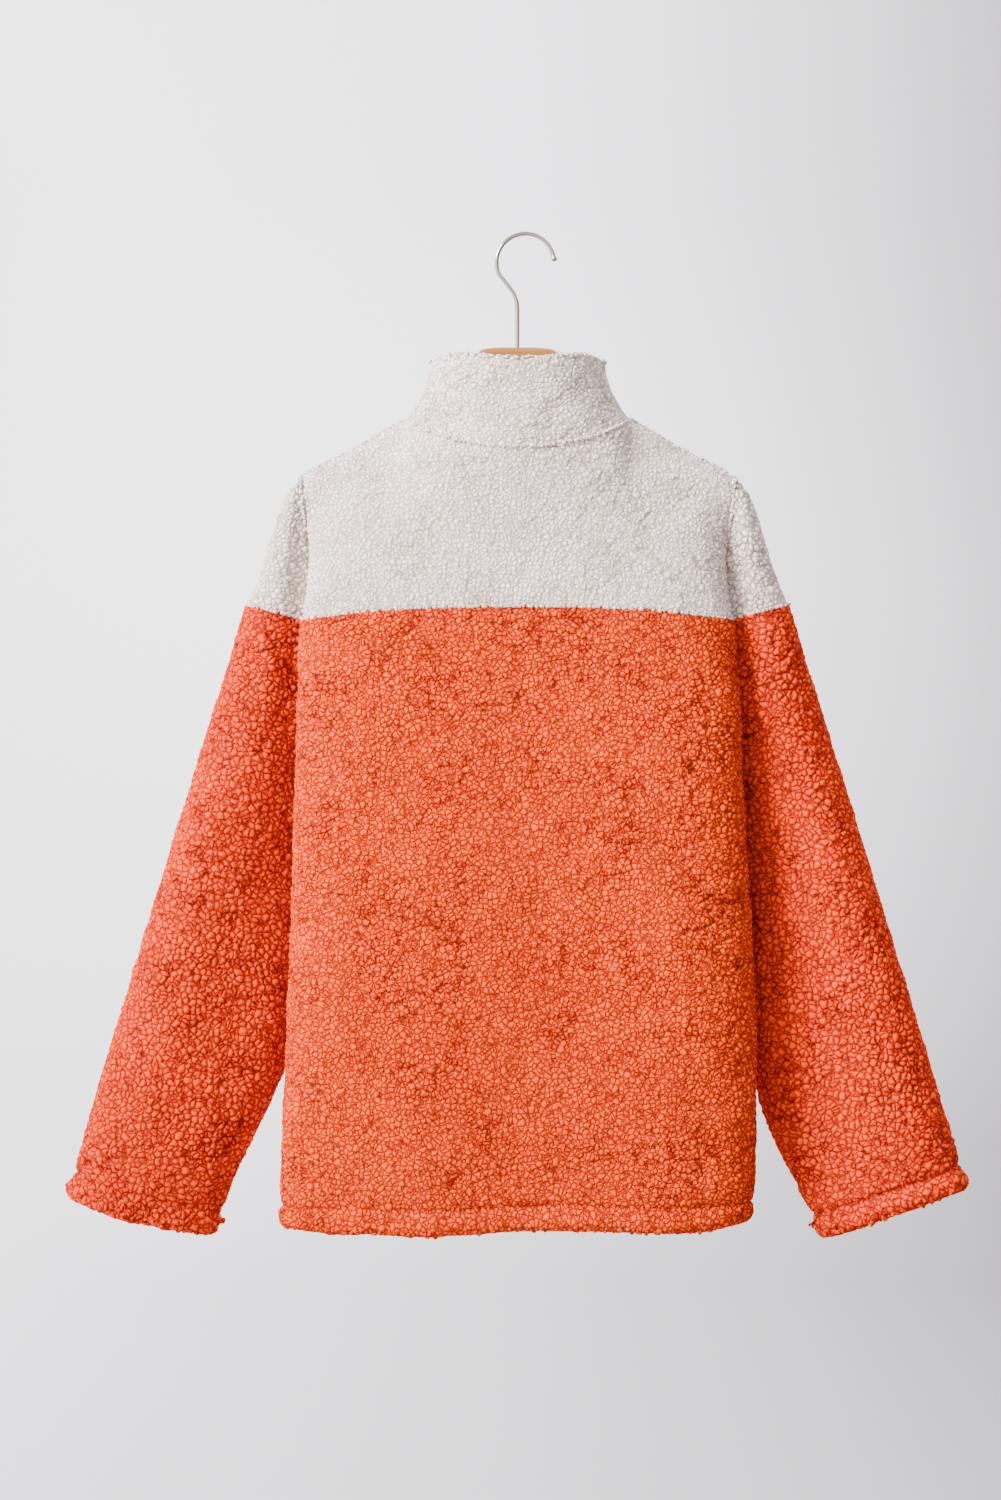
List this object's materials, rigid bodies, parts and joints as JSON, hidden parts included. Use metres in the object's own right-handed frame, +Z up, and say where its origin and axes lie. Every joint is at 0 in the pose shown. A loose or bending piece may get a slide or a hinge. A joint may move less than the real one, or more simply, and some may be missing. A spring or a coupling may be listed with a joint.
{
  "type": "half-zip sweatshirt on a wooden hanger",
  "caption": "Two-colour sherpa-fleece half-zip sweatshirt with a stand collar and long sleeves, hanging on a wooden hanger with a wire hook.",
  "frame": {"origin": "top of the inside of the hook's bend, straight above the hanger's stem, where a rail or peg carries the garment", "axes": "+Z up, against gravity as it hangs; +Y out of the garment's front, the side with the half zip; +X to the right as seen from behind the garment"},
  "size_m": [0.778, 0.1181, 0.8586],
  "materials": {
    "sherpa_cream": "curly high-pile sherpa fleece, cream",
    "sherpa_orange": "curly high-pile sherpa fleece, orange",
    "woven_tape": "woven polyester zip tape",
    "zip_metal": "satin nickel-plated zip chain and slider",
    "hanger_wood": "clear satin lacquer",
    "hook_wire": "pale brushed brass-plated steel wire"
  },
  "bodies": {
    "garment": {"back_body": "sherpa_orange", "back_yoke": "sherpa_cream", "collar": "sherpa_cream", "front_body": "sherpa_orange", "front_yoke_left": "sherpa_cream", "front_yoke_right": "sherpa_cream", "hanger": "hanger_wood", "hook": "hook_wire", "sleeve_left": "sherpa_orange", "sleeve_right": "sherpa_orange", "sleeve_top_left": "sherpa_cream", "sleeve_top_right": "sherpa_cream", "slider": "zip_metal", "zip_chain": "zip_metal", "zip_tape_left": "woven_tape", "zip_tape_right": "woven_tape"},
    "pull_tab": {"pull_tab": "zip_metal"}
  },
  "joints": [
    {"name": "pull_tab_hinge", "type": "hinge", "parent": "garment", "child": "pull_tab", "pos_m": [0, 0.04821, -0.12655], "axis": [1, 0, 0], "range_deg": [0, 150]}
  ]
}
